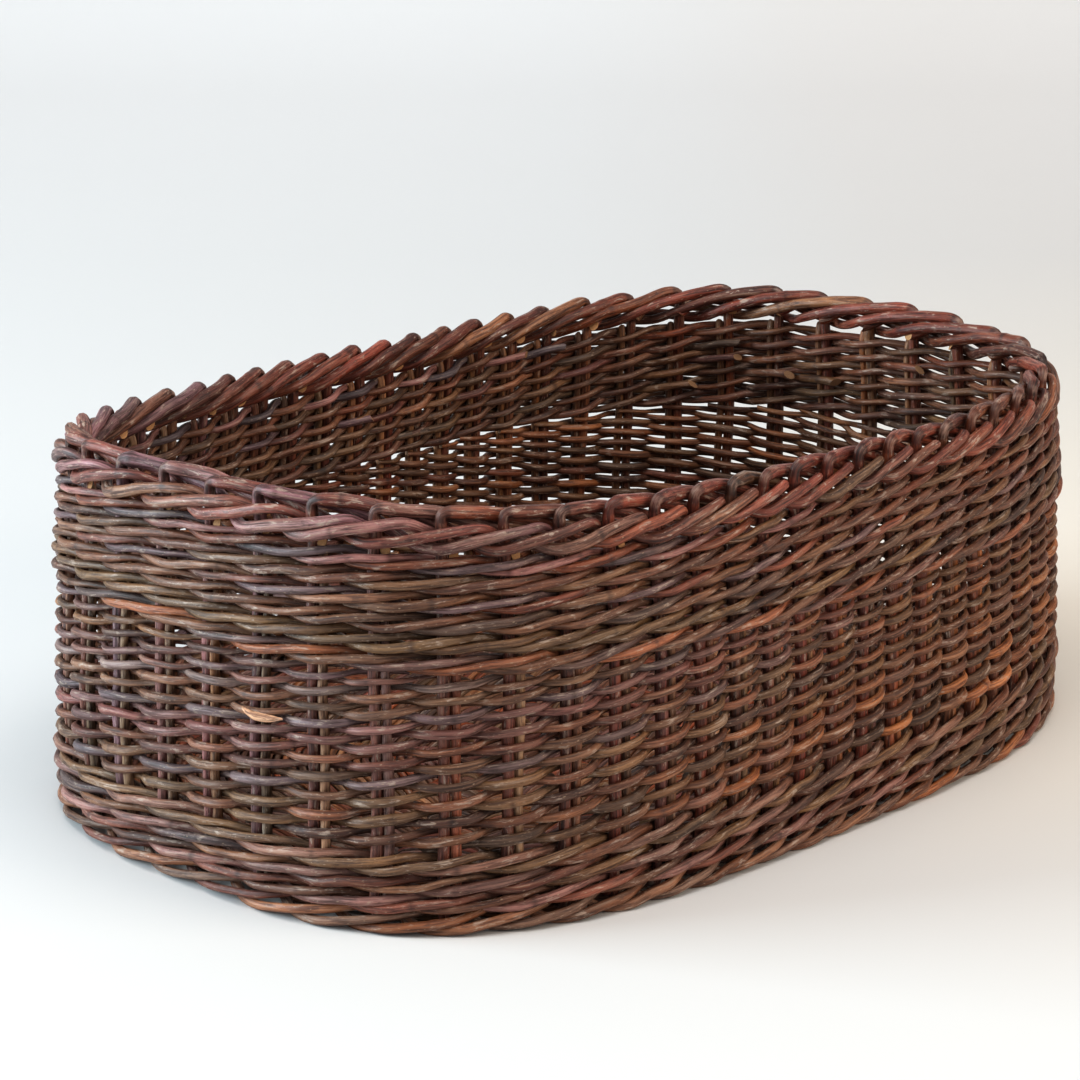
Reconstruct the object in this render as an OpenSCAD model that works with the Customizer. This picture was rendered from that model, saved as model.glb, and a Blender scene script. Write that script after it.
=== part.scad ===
// Deep oval willow basket, stake-and-strand work.
// A slit-stick oval base, pricked-up stakes with bye-stakes beside them, a
// waled upsett, randed siding, a waled top band and a border laid down from
// the stakes themselves.
// Origin: centre of the underside. +X runs along the long axis, +Z is up.

/* [Plan outline] */
// Half length of the stake line at the base, mm
half_len = 275.5; // [240:0.5:320]
// Half width of the stake line at the base, mm
half_wid = 187.5; // [165:0.5:230]
// Squareness of the outline (2 is an ellipse)
squareness = 3.13; // [2.4:0.05:4]
// How far the wall leans in from base to rim, mm
lean = 3; // [0:0.5:8]
// How much wider the stakes stand round the ends than along the sides (0 is even)
end_spread = 0.19; // [0:0.01:0.2]

/* [Heights] */
// Overall height to the top of the border, mm
height = 200; // [195:1:215]
// Height at which the siding starts, mm
siding_z = 40; // [38:0.5:44]
// Height at which the top waling starts, mm
top_wale_z = 125; // [120:0.5:128]
// Height at which the border starts, mm
border_z = 178; // [176:0.5:179]

/* [Rods] */
// Diameter of a stake, mm
stake_d = 5.6; // [4.6:0.1:5.8]
// Diameter of a bye-stake, mm
bye_d = 4.4; // [3.4:0.1:4.6]
// Thickness of a weaving rod across the wall, mm
weaver_t = 3.0; // [2.2:0.1:3.1]
// Distance from the stake line to a weaving rod's centre, mm
weave_off = 5.6; // [5.6:0.1:6.4]
// Thickness of the siding rods at their butts, mm
rand_butt = 4.8; // [4.5:0.05:4.9]

/* [Base] */
// Diameter of a slit cross stick, mm
cross_d = 8; // [7.4:0.1:8.2]
// Diameter of a long stick, mm
long_d = 5.4; // [4.8:0.1:5.5]
// Spacing of the cross sticks in the slath, mm
cross_pitch = 21; // [18:0.5:24]
// Length of stake butt pushed into the base, mm
butt_len = 52; // [30:1:60]
// Thickness of the base weaving above and below the sticks, mm
pair_t = 2.6; // [2:0.1:2.7]

/* [Hidden] */

n_stakes = 56;          // two to each of the 28 stick ends
n_cross = 9;
n_long = 5;
rand_passes = 21;       // stakes that one siding rod goes past
stick_z = 6.8;          // height of the stick layer
butt_z = 5.8;           // height of the stake butts
gap = 0.1;              // clearance between neighbouring rods
e0 = 8.3;               // the base edge lies this far inside the stake line

// Outline, as a table of arc length against position
M = 720;
function spow(v, p) = sign(v) * pow(abs(v), p);
function outline(i) = let(t = 360 * i / M)
  [half_len * spow(cos(t), 2 / squareness), half_wid * spow(sin(t), 2 / squareness)];
pts = [for (i = [0 : M]) outline(i)];
function running(i, total, out) = i > M ? out :
  running(i + 1, i < M ? total + norm(pts[i + 1] - pts[i]) : total, concat(out, [total]));
arc = running(0, 0, []);
perimeter = arc[M];
tab_x = [for (i = [0 : M]) [arc[i], pts[i][0]]];
tab_y = [for (i = [0 : M]) [arc[i], pts[i][1]]];
function wrap(s) = s - perimeter * floor(s / perimeter);
function at(s) = [lookup(wrap(s), tab_x), lookup(wrap(s), tab_y)];
function along(s) = let(d = at(s + 4) - at(s - 4)) d / norm(d);
function outward(s) = let(d = along(s)) [d[1], -d[0]];
// Arc length at stake count i, which need not be whole
function run_s(i) = let(a = 360 * i / n_stakes)
  perimeter * (i / n_stakes + end_spread / PI * (sin(2 * a) / 4 + 0.13 * sin(4 * a) / 8 - 0.155 * sin(6 * a) / 12));

// A point of the wall: s along the outline, r out from the stake line, z up
function wall(s, r, z) = let(p = at(s) + outward(s) * (r - lean * z / height)) [p[0], p[1], z];
function stake_s(i) = run_s(i - 0.5);
pair_mid = (stake_d + bye_d) / 4 + 0.2; // from a stake to the middle of its pair

// Closed sweep of a section through rings of equal length
module skin(rings) {
  n = len(rings[0]);
  m = len(rings);
  polyhedron(
    points = [for (r = rings) for (p = r) p],
    faces = concat(
      [[for (j = [0 : n - 1]) j]],
      [for (i = [0 : m - 2]) for (j = [0 : n - 1])
        [i * n + j, (i + 1) * n + j, (i + 1) * n + (j + 1) % n, i * n + (j + 1) % n]],
      [[for (j = [n - 1 : -1 : 0]) (m - 1) * n + j]]));
}

// Rings square to a path of points, with sides corners and radius rad
function unit(v) = v / norm(v);
function tangent(path, i) = unit(path[min(i + 1, len(path) - 1)] - path[max(i - 1, 0)]);
function rings(path, out, rad, sides) = [for (i = [0 : len(path) - 1])
  let(t = tangent(path, i), u = unit(out[i] - t * (out[i] * t)), v = cross(t, u))
  [for (j = [0 : sides - 1]) let(a = 360 * (j + 0.5) / sides) path[i] + rad * (cos(a) * u + sin(a) * v)]];

// ---- base ----
// Where stick k meets the base edge, k counted from the +X end
function stick_end(k) = let(s = run_s(2 * k)) at(s) - outward(s) * e0;
// Where stick k leaves the slath
function stick_bend(k) = let(q = (k + 28) % 28)
  q <= 2 || q >= 26 ? [92, 6 * (q <= 2 ? q : q - 28)] :
  q <= 11 ? [(7 - q) * cross_pitch, 20] :
  q <= 16 ? [-92, 6 * (14 - q)] :
  [(q - 21) * cross_pitch, -20];

// A stick, opened out from the slath to the edge at both ends
module stick(k1, k2, d) {
  path = [for (p = [stick_end(k1), stick_bend(k1), stick_bend(k2), stick_end(k2)]) [p[0], p[1], stick_z]];
  skin(rings(path, [for (p = path) [0, 0, 1]], d / 2, 10));
}

module base_long_sticks() {
  color("#6b4630") for (j = [-2 : 2]) stick(j, 14 - j, long_d);
}

module base_cross_sticks() {
  color("#5d3b29") difference() {
    for (m = [0 : n_cross - 1]) stick(3 + m, 25 - m, cross_d);
    translate([-200, -15.6, stick_z - 2.9]) cube([400, 31.2, 5.8]);
  }
}

// Outline of the base weaving, f = 0 at the slath and 1 at the base edge
function ring_pt(f, i) = let(t = 360 * i / 44, n = 2.3 + (squareness - 2.3) * f,
    a = 96 + (half_len - e0 - 96) * f, b = 25 + (half_wid - e0 - 25) * f)
  [a * spow(cos(t), 2 / n), b * spow(sin(t), 2 / n)];
module base_band(f0, f1, z) {
  translate([0, 0, z]) linear_extrude(height = pair_t) difference() {
    polygon([for (i = [0 : 43]) ring_pt(f1, i)]);
    polygon([for (i = [0 : 43]) ring_pt(f0, i)]);
  }
}
module base_weave(q) {
  color(q % 2 == 0 ? "#6f4a35" : "#5b4238") {
    base_band((q - 1) / 6 + 0.003, q / 6 - 0.003, 0);
    base_band((q - 1) / 6 + 0.003, q / 6 - 0.003, stick_z + cross_d / 2 + 0.2);
  }
}
module base_weave_1() { base_weave(1); }
module base_weave_2() { base_weave(2); }
module base_weave_3() { base_weave(3); }
module base_weave_4() { base_weave(4); }
module base_weave_5() { base_weave(5); }
module base_weave_6() { base_weave(6); }

// ---- stakes ----
// Each stake runs in from the base, turns up at the edge, stands in the wall,
// is kinked over at the rim and laid behind two stakes, in front of two, and in.
lay_out = stake_d + 0.3;  // centre of a laid-down rod from the stake line
function up3(v) = [v[0], v[1], 0];
module stake(i) {
  s = stake_s(i);
  o = up3(outward(s));
  k = floor(i / 2);
  inward = unit(stick_bend(k) - stick_end(k));
  foot = at(s) - outward(s) * 7.5;
  zt = height - stake_d / 2;
  path = concat(
    [[foot[0] + inward[0] * butt_len, foot[1] + inward[1] * butt_len, butt_z],
     [foot[0], foot[1], butt_z]],
    [wall(s, -1.2, butt_z + 1.6), wall(s, 0, butt_z + 6), wall(s, 0, border_z + 11),
     wall(s, 0.4, zt - 1.8), wall(stake_s(i + 0.2), 0, zt),
     wall(stake_s(i + 1), -lay_out, zt - 2.6), wall(stake_s(i + 2), -lay_out, zt - 8.7),
     wall(stake_s(i + 2.5), -0.5, zt - 14), wall(stake_s(i + 3), lay_out, zt - 14.6),
     wall(stake_s(i + 4), lay_out, zt - 7.4), wall(stake_s(i + 4.55), -0.6, zt - 6.9)]);
  up = [0, 0, 1];
  out = concat([up, up - 0.2 * o, -o + up, -o, -o, -o + 0.6 * up, up],
    [for (u = [1, 2, 2.5, 3, 4, 4.55]) up]);
  skin(rings(path, out, stake_d / 2, 5));
}
module stakes() {
  color("#6e3b30") for (i = [0 : n_stakes - 1]) stake(i);
}

module bye_stakes() {
  color("#77654a") for (i = [0 : n_stakes - 1]) {
    s = stake_s(i) + 2 * pair_mid;
    a = wall(s, 0, butt_z + 4.4);
    b = wall(s, 0, border_z);
    v = b - a;
    translate(a) rotate([0, acos(v[2] / norm(v)), atan2(v[1], v[0])]) cylinder(h = norm(v), d = bye_d, $fn = 24);
  }
}

// ---- weaving ----
// A flat round that goes in front of the stakes where front(i) is 1
module round_rod(z, t, front) {
  mids = [for (i = [0 : n_stakes - 1]) stake_s(i) + pair_mid];
  side = [for (i = [0 : n_stakes - 1]) front[i % len(front)] == 1 ? weave_off : -weave_off];
  lean_r = lean * z / height;
  function edge(i, d) = let(p = at(mids[i]) + outward(mids[i]) * (side[i] + d - lean_r)) p;
  translate([0, 0, z]) linear_extrude(height = t) difference() {
    polygon([for (i = [0 : n_stakes - 1]) edge(i, weaver_t / 2)]);
    polygon([for (i = [0 : n_stakes - 1]) edge(i, -weaver_t / 2)]);
  }
}

three_rod = [[1, 1, 0], [0, 1, 1], [1, 0, 1]];
upsett_0 = butt_z + stake_d / 2 + 0.4;        // first rod above the stake butts
upsett_t = (siding_z - upsett_0) / 11;
module upsett_rod(q) {
  // the first rod passes under the stake butts, the rest lie above them
  if (q == 0) round_rod(0, pair_t, three_rod[0]);
  else round_rod(upsett_0 + (q - 1) * upsett_t, upsett_t - gap, three_rod[q % 3]);
}
module upsett_wale(r) {
  color(r % 2 == 0 ? "#65423a" : "#54433f") for (j = [0 : 2]) upsett_rod(3 * (r - 1) + j);
}
module upsett_wale_1() { upsett_wale(1); }
module upsett_wale_2() { upsett_wale(2); }
module upsett_wale_3() { upsett_wale(3); }
module upsett_wale_4() { upsett_wale(4); }

top_t = (border_z - top_wale_z) / 18;
module top_wale(r) {
  color(r % 2 == 0 ? "#7a4a38" : "#5e4b44") for (j = [0 : 2])
    round_rod(top_wale_z + (3 * (r - 1) + j) * top_t, top_t - gap, three_rod[j]);
}
module top_wale_1() { top_wale(1); }
module top_wale_2() { top_wale(2); }
module top_wale_3() { top_wale(3); }
module top_wale_4() { top_wale(4); }
module top_wale_5() { top_wale(5); }
module top_wale_6() { top_wale(6); }

// Siding: one rod starts behind every stake and works up to the right, in
// front of one and behind one, thinning from butt to tip
rand_tip = 2 * (top_wale_z - siding_z) / rand_passes - rand_butt;
function rand_h(n) = rand_butt + (rand_tip - rand_butt) * n / (rand_passes - 1);
function rand_z(n) = siding_z + n * (rand_butt + rand_h(max(n - 1, 0))) / 2 + rand_h(n) / 2;
module siding_rod(i) {
  function ring(s, r, z, h) = [
    wall(s, r - weaver_t / 2, z - h / 2), wall(s, r - weaver_t / 2, z + h / 2),
    wall(s, r + weaver_t / 2, z + h / 2), wall(s, r + weaver_t / 2, z - h / 2)];
  skin([for (n = [0 : rand_passes - 1])
    ring(stake_s(i + n) + pair_mid, n % 2 == 1 ? weave_off : -weave_off, rand_z(n), rand_h(n) - 0.45)]);
}
module siding_rods() {
  for (i = [0 : n_stakes - 1])
    color(["#6b5138", "#5a3a30", "#4d4648", "#73543a"][i % 4]) siding_rod(i);
}

base_long_sticks();
base_cross_sticks();
base_weave_1();
base_weave_2();
base_weave_3();
base_weave_4();
base_weave_5();
base_weave_6();
stakes();
bye_stakes();
upsett_wale_1();
upsett_wale_2();
upsett_wale_3();
upsett_wale_4();
siding_rods();
top_wale_1();
top_wale_2();
top_wale_3();
top_wale_4();
top_wale_5();
top_wale_6();
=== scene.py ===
import math

import bpy
import numpy as np
from mathutils import Matrix, Vector


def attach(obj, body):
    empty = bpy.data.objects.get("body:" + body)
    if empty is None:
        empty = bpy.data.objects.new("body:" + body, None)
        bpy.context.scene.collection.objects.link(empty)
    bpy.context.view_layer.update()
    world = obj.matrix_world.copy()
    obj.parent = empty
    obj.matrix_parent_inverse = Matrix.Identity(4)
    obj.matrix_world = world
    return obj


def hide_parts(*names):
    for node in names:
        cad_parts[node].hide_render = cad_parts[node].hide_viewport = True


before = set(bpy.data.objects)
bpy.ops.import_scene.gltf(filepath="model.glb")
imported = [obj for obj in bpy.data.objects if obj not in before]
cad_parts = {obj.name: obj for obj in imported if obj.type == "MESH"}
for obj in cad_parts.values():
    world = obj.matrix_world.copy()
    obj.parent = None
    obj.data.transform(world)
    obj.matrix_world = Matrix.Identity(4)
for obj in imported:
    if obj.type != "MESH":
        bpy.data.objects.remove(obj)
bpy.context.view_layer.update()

# --------------------------------------------------------------------------
# The wall's own coordinates: s along the outline, r outwards, z up (mm)
# --------------------------------------------------------------------------
HALF_LEN, HALF_WID, SQUARE = 275.5, 187.5, 3.13
N = 56
STAKE_D, BYE_D = 6.1, 4.9
BASE_EDGE = 8.3
PAIR_MID = 2.7
SIDING_Z, WALE_Z, BORDER_Z = 40.0, 125.0, 178.0
TAU = 2 * math.pi


def spow(v, p):
    return np.sign(v) * np.abs(v) ** p


_t = np.linspace(0, TAU, 14401)
_x = HALF_LEN * spow(np.cos(_t), 2 / SQUARE)
_y = HALF_WID * spow(np.sin(_t), 2 / SQUARE)
_arc = np.concatenate([[0], np.cumsum(np.hypot(np.diff(_x), np.diff(_y)))])
PER = float(_arc[-1])
PITCH = PER / N
_S = np.linspace(0, PER, 3001)
_X, _Y, _T = (np.interp(_S, _arc, a) for a in (_x, _y, _t))
_dx = np.gradient(np.concatenate([_X[-12:-1], _X, _X[1:12]]))
_dy = np.gradient(np.concatenate([_Y[-12:-1], _Y, _Y[1:12]]))
_k = np.ones(11) / 11
_dx = np.convolve(_dx, _k, "same")[11:-11]
_dy = np.convolve(_dy, _k, "same")[11:-11]
_l = np.hypot(_dx, _dy)
_NX, _NY = _dy / _l, -_dx / _l


class Field:
    """A smooth random field over the wall, periodic in s."""

    def __init__(self, amp, ns, nz, seed):
        r = np.random.RandomState(seed)
        g = r.uniform(-1, 1, (ns, nz))
        self.g, self.ns, self.nz, self.amp = g, ns, nz, amp

    def __call__(self, s, z):
        a = (np.asarray(s) / PER * self.ns) % self.ns
        b = np.clip(np.asarray(z) / 205.0, 0, 0.9999) * (self.nz - 1)
        i, j = np.floor(a).astype(int), np.floor(b).astype(int)
        fa, fb = a - i, b - j
        fa, fb = fa * fa * (3 - 2 * fa), fb * fb * (3 - 2 * fb)
        i0, i1, j1 = i % self.ns, (i + 1) % self.ns, np.minimum(j + 1, self.nz - 1)
        g = self.g
        top = g[i0, j] * (1 - fa) + g[i1, j] * fa
        bot = g[i0, j1] * (1 - fa) + g[i1, j1] * fa
        return self.amp * (top * (1 - fb) + bot * fb)


WOB_S = Field(1.7, 40, 4, 11)
WOB_R = Field(1.1, 22, 4, 12)
WOB_Z = Field(0.75, 60, 9, 13)


def undulation(s):
    t = np.interp(s % PER, _S, _T)
    return -0.0204 * np.cos(t) - 0.0222 * np.sin(t) + 0.0261 * np.cos(2 * t) + 0.0071 * np.sin(2 * t)


def smooth(v):
    v = np.clip(v, 0, 1)
    return v * v * (3 - 2 * v)


def lean(z):
    z = np.asarray(z, float)
    return -3.0 * z / 200 + 2.2 * np.sin(np.pi * np.clip(z / 165, 0, 1)) - 2.6 * smooth((z - 130) / 70)


def wall(s, r, z, wobble=1.0):
    """Points of the wall in metres."""
    s, r, z = np.broadcast_arrays(*(np.asarray(v, float) for v in (s, r, z)))
    w = wobble * smooth(z / 25)
    s2 = s + w * WOB_S(s, z)
    r2 = r + w * WOB_R(s, z) + lean(z)
    z2 = z + w * WOB_Z(s, z) * smooth((z - 12) / 20)
    z2 = z2 + 200 * undulation(s) * smooth((z - 45) / 150)
    q = s2 % PER
    x, y = np.interp(q, _S, _X), np.interp(q, _S, _Y)
    nx, ny = np.interp(q, _S, _NX), np.interp(q, _S, _NY)
    m = np.hypot(nx, ny)
    return np.stack([x + nx / m * r2, y + ny / m * r2, z2], -1) / 1000


def at(s):
    q = s % PER
    return np.array([np.interp(q, _S, _X), np.interp(q, _S, _Y)])


def outward(s):
    q = s % PER
    n = np.array([np.interp(q, _S, _NX), np.interp(q, _S, _NY)])
    return n / np.linalg.norm(n)


SPREAD = 0.19


def run_s(i):
    """Arc length at stake count i, which need not be whole."""
    a = TAU * np.asarray(i, float) / N
    return PER * (np.asarray(i, float) / N + SPREAD / math.pi * (
        np.sin(2 * a) / 4 + 0.13 * np.sin(4 * a) / 8 - 0.155 * np.sin(6 * a) / 12))


def stake_s(i):
    return run_s(np.asarray(i, float) - 0.5)


def catmull(keys, x):
    """Catmull-Rom through (x, value...) rows."""
    keys = np.asarray(keys, float)
    kx, kv = keys[:, 0], keys[:, 1:]
    i = np.clip(np.searchsorted(kx, x, "right") - 1, 0, len(kx) - 2)
    m = np.empty_like(kv)
    m[1:-1] = (kv[2:] - kv[:-2]) / (kx[2:] - kx[:-2])[:, None]
    m[0] = (kv[1] - kv[0]) / (kx[1] - kx[0])
    m[-1] = (kv[-1] - kv[-2]) / (kx[-1] - kx[-2])
    h = (kx[i + 1] - kx[i])[:, None]
    t = ((x - kx[i])[:, None]) / h
    return ((2 * t**3 - 3 * t**2 + 1) * kv[i] + (t**3 - 2 * t**2 + t) * h * m[i]
            + (-2 * t**3 + 3 * t**2) * kv[i + 1] + (t**3 - t**2) * h * m[i + 1])


# --------------------------------------------------------------------------
# Willow colours. Linear albedo from sRGB, with a bias along the outline: the rods' own colour, plus painted light that
# makes the -X end paler and cooler
# --------------------------------------------------------------------------
def lin(rgb):
    c = np.asarray(rgb, float) / 255
    return np.where(c <= 0.04045, c / 12.92, ((c + 0.055) / 1.055) ** 2.4)


RED, DARK = lin([118, 58, 44]), lin([70, 42, 33])
OLIVE, OCHRE = lin([112, 86, 56]), lin([152, 98, 56])
ORANGE, MAUVE = lin([160, 86, 46]), lin([122, 82, 82])
SLATE, TAN = lin([92, 82, 86]), lin([156, 118, 86])
BROWN = lin([108, 69, 48])
PALETTE = np.array([RED, DARK, OLIVE, OCHRE, ORANGE, MAUVE, SLATE, TAN, BROWN]) * (1.25, 1.07, 0.92)


def pick(rng, kind, x=0.0):
    """A rod's colour, with painted light at the -X end. x runs from -1 at the -X end to 1 at the +X end."""
    w = {
        "border": np.array([9, 1.4, 0.15, 0.5, 0.6, 0.25, 0.0, 0.35, 1.4]),
        "stake": np.array([4, 2.4, 1.0, 0.3, 0.3, 0.4, 0.1, 0.2, 2.0]),
        "bye": np.array([0.8, 0.4, 3.0, 2.4, 0.2, 0.05, 0.05, 3.4, 1.6]),
        "wale": np.array([2.2, 2.4, 3.6, 1.3, 0.4, 0.3, 0.5, 0.35, 5.0]),
        "siding": np.array([1.3, 2.2, 4.6, 1.9, 0.35, 0.35, 0.5, 0.6, 4.6]),
        "base": np.array([1.6, 1.8, 2.4, 1.2, 0.6, 0.8, 0.8, 0.6, 3.6]),
    }[kind].copy()
    left, right = max(0, -x), max(0, x)
    w[[5, 6]] *= 1 + 9 * left ** 4
    w[[3, 2]] *= 1 + 0.8 * right
    w[[2, 3, 4]] *= 1 - 0.6 * left
    w[[5, 6]] *= 1 - 0.8 * right
    c = PALETTE[rng.choice(len(PALETTE), p=w / w.sum())]
    # painted light: rods are painted brighter towards the -X end, where the window light falls on it
    c = c * math.exp(rng.uniform(-0.42, 0.36)) * (1 + 0.12 * left)
    mix = PALETTE[rng.choice(len(PALETTE), p=w / w.sum())]
    c = c * 0.7 + mix * 0.3
    # painted light: border rods are painted still paler and cooler towards the -X end
    if kind == "border":
        c = c * (1 + 0.10 * left, 1 + 0.20 * left, 1 + 0.30 * left)
    # partly the rods' own mauve and grey, partly painted cool window light: a blue tint and brightening towards the -X
    # end
    return c * (1 + 0.12 * left, 1 + 0.48 * left, 1 + 0.95 * left)


# --------------------------------------------------------------------------
# Tubes with bark coordinates, knots and cut ends
# --------------------------------------------------------------------------
class Rods:
    def __init__(self, name, seed):
        self.name = name
        self.rng = np.random.RandomState(seed)
        self.v, self.q, self.tri = [], [], []
        self.bark, self.tone, self.mark = [], [], []
        self.n = 0
        self.strips = []   # (first quad, rings, sides, lengths, radius)
        self.nq = 0
        self.caps = []     # (first triangle, sides, radius)
        self.nt = 0

    def add(self, p, rad, tone, sides=8, knots=True, pale_from=None, cut=(1, 1),
            slant=(0.3, 0.3), slant_dir=(None, None), mark=None, frame_up=None, wander=0.26):
        """p: (n, 3) metres. rad: (n,) metres. tone: (3,) or (n, 3) linear."""
        p = np.array(p, float)
        rad = np.broadcast_to(np.asarray(rad, float), (len(p),)).copy()
        rng = self.rng
        seg = np.linalg.norm(np.diff(p, axis=0), axis=1)
        length = np.concatenate([[0], np.cumsum(seg)])
        tone = np.broadcast_to(np.asarray(tone, float), (len(p), 3)).copy()
        mk = np.zeros(len(p)) if mark is None else np.asarray(mark, float).copy()
        if knots:
            at_ = rng.uniform(0.01, 0.06)
            while at_ < length[-1] - 0.01:
                w = rng.uniform(0.0016, 0.0028)
                g = np.exp(-((length - at_) / w) ** 2)
                rad *= 1 + rng.uniform(0.05, 0.14) * g
                mk += rng.uniform(0.4, 1.0) * g
                at_ += rng.uniform(0.035, 0.11)
        # slow thick-and-thin and colour drift along the rod
        ph = rng.uniform(0, TAU, 4)
        rad *= 1 + 0.035 * np.sin(length * 90 + ph[0]) + 0.03 * np.sin(length * 41 + ph[1])
        tone *= (1 + 0.15 * np.sin(length * 19 + ph[2]) + 0.12 * np.sin(length * 57 + ph[3]))[:, None]
        # no rod is quite straight: it wanders a little between its bends
        for wave, amp_ in ((110, 1.0), (193, 0.55), (310, 0.25)):
            ph3 = rng.uniform(0, TAU, 3)
            p += wander / 1000 * amp_ * np.sin(length[:, None] * wave * rng.uniform(0.85, 1.15) + ph3) * (0.7, 0.7, 1.0)
        t = np.gradient(p, axis=0)
        t /= np.linalg.norm(t, axis=1)[:, None]
        if frame_up is not None:
            a = np.cross(np.broadcast_to(frame_up, p.shape), t)
            a /= np.linalg.norm(a, axis=1)[:, None]
        else:
            a = np.empty_like(p)
            ref = np.array([0, 0, 1.0]) if abs(t[0][2]) < 0.9 else np.array([1.0, 0, 0])
            u = np.cross(t[0], ref)
            for i in range(len(p)):
                u = u - t[i] * u.dot(t[i])
                u /= math.sqrt(u.dot(u))
                a[i] = u
        b = np.cross(t, a)
        th = np.arange(sides) * TAU / sides
        c, s_ = np.cos(th), np.sin(th)
        oval = 1 + 0.06 * np.cos(2 * (th[None] - (rng.uniform(0, TAU) + length[:, None] * 25)))
        ring = p[:, None] + (rad[:, None] * oval)[:, :, None] * (c[None, :, None] * a[:, None] + s_[None, :, None] * b[:, None])
        # oblique knife cuts: shear the end rings along the rod
        for e, (k, d) in enumerate(zip(slant, slant_dir)):
            i = 0 if e == 0 else len(p) - 1
            if k:
                if d is None:
                    ang = rng.uniform(0, TAU)
                    sh = np.cos(th - ang)
                else:
                    d = np.asarray(d, float)
                    sh = (c * a[i].dot(d) + s_ * b[i].dot(d))
                ring[i] += t[i] * (sh * k * rad[i])[:, None]
        m = len(p)
        bark = np.empty((m, sides, 3))
        bark[:, :, 0] = (length + rng.uniform(0, 40))[:, None]
        bark[:, :, 1] = rad[:, None] * c[None] + rng.uniform(0, 5)
        bark[:, :, 2] = rad[:, None] * s_[None]
        base = self.n
        idx = base + np.arange(m * sides).reshape(m, sides)
        nxt = np.roll(idx, -1, axis=1)
        quads = np.stack([idx[:-1], nxt[:-1], nxt[1:], idx[1:]], -1).reshape(-1, 4)
        self.v.append(ring.reshape(-1, 3))
        self.bark.append(bark.reshape(-1, 3))
        self.tone.append(np.repeat(tone, sides, axis=0))
        self.mark.append(np.repeat(mk, sides))
        self.q.append(quads)
        self.strips.append((self.nq, m, sides, length, float(rad.mean())))
        self.nq += len(quads)
        self.n += m * sides
        for e in (0, 1):
            i = 0 if e == 0 else m - 1
            centre = ring[i].mean(axis=0) + t[i] * (rad[i] * 0.12) * (-1 if e == 0 else 1)
            # the cut face gets its own ring of vertices so that it shades sharp
            self.v.append(np.vstack([ring[i], centre[None]]))
            bk = np.vstack([bark[i], [[bark[i, 0, 0], bark[i, :, 1].mean(), 0]]])
            self.bark.append(bk)
            self.tone.append(np.repeat(tone[i][None], sides + 1, axis=0))
            self.mark.append(np.full(sides + 1, -1.0 if cut[e] else 0.0))
            j = self.n + np.arange(sides)
            jn = np.roll(j, -1)
            cc = np.full(sides, self.n + sides)
            tri = np.stack([jn, j, cc], -1) if e == 0 else np.stack([j, jn, cc], -1)
            self.tri.append(tri)
            self.caps.append((self.nt, sides, float(rad[i])))
            self.nt += sides
            self.n += sides + 1

    def build(self, nodes, slot, bark_mat, cut_mat):
        v = np.concatenate(self.v)
        v[:, 2] = np.maximum(v[:, 2], 0)    # flattened where it stands on the ground
        q, tri = np.concatenate(self.q), np.concatenate(self.tri)
        me = bpy.data.meshes.new(self.name)
        nl = len(q) * 4 + len(tri) * 3
        me.vertices.add(len(v))
        me.vertices.foreach_set("co", v.astype(np.float32).ravel())
        me.loops.add(nl)
        me.loops.foreach_set("vertex_index", np.concatenate([q.ravel(), tri.ravel()]).astype(np.int32))
        me.polygons.add(len(q) + len(tri))
        start = np.concatenate([np.arange(len(q)) * 4, len(q) * 4 + np.arange(len(tri)) * 3])
        me.polygons.foreach_set("loop_start", start.astype(np.int32))
        me.polygons.foreach_set("material_index", np.concatenate([np.zeros(len(q)), np.ones(len(tri))]).astype(np.int32))
        me.update(calc_edges=True)
        me.polygons.foreach_set("use_smooth", np.ones(len(q) + len(tri), bool))
        for nm, kind, field, data, dim in (
                ("bark", "FLOAT_VECTOR", "vector", self.bark, 3),
                ("mark", "FLOAT", "value", self.mark, 1)):
            at_ = me.attributes.new(nm, kind, "POINT")
            at_.data.foreach_set(field, np.concatenate(data).astype(np.float32).ravel())
        col = np.concatenate(self.tone)
        col = np.concatenate([np.clip(col, 0, 1), np.ones((len(col), 1))], 1)
        at_ = me.attributes.new("tone", "FLOAT_COLOR", "POINT")
        at_.data.foreach_set("color", col.astype(np.float32).ravel())
        self.lay_uv(me, len(q), len(tri))
        me.materials.append(bark_mat)
        me.materials.append(cut_mat)
        me.validate()
        o = bpy.data.objects.new(self.name, me)
        bpy.context.scene.collection.objects.link(o)
        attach(o, "root")
        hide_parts(*nodes)
        return o

    def lay_uv(self, me, nq, nt):
        """Each rod is unrolled into straight strips, laid in rows."""
        margin = 2.2 / 1024

        def rows(k, out=None):
            x, y, h = margin, margin, 0.0
            for first, m, sides, length, rad in self.strips:
                c = TAU * rad * k
                i = 0
                while i < m - 1:
                    room = 1 - margin - x
                    if room < 0.08:
                        y += h + margin
                        x, h = margin, 0.0
                        room = 1 - 2 * margin
                    j = int(np.searchsorted(length, length[i] + room / k, "right")) - 1
                    j = min(max(j, i + 1), m - 1)
                    h = max(h, c)
                    if out is not None:
                        out.append((first, sides, i, j, x, y, k, c, length))
                    x += (length[j] - length[i]) * k + margin
                    i = j
            cap = [2 * r * k for _, _, r in self.caps]
            for n_, w in enumerate(cap):
                if x + w + margin > 1:
                    y += h + margin
                    x, h = margin, 0.0
                h = max(h, w)
                if out is not None:
                    out.append((n_, x, y, w))
                x += w + margin
            return y + h + margin

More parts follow.
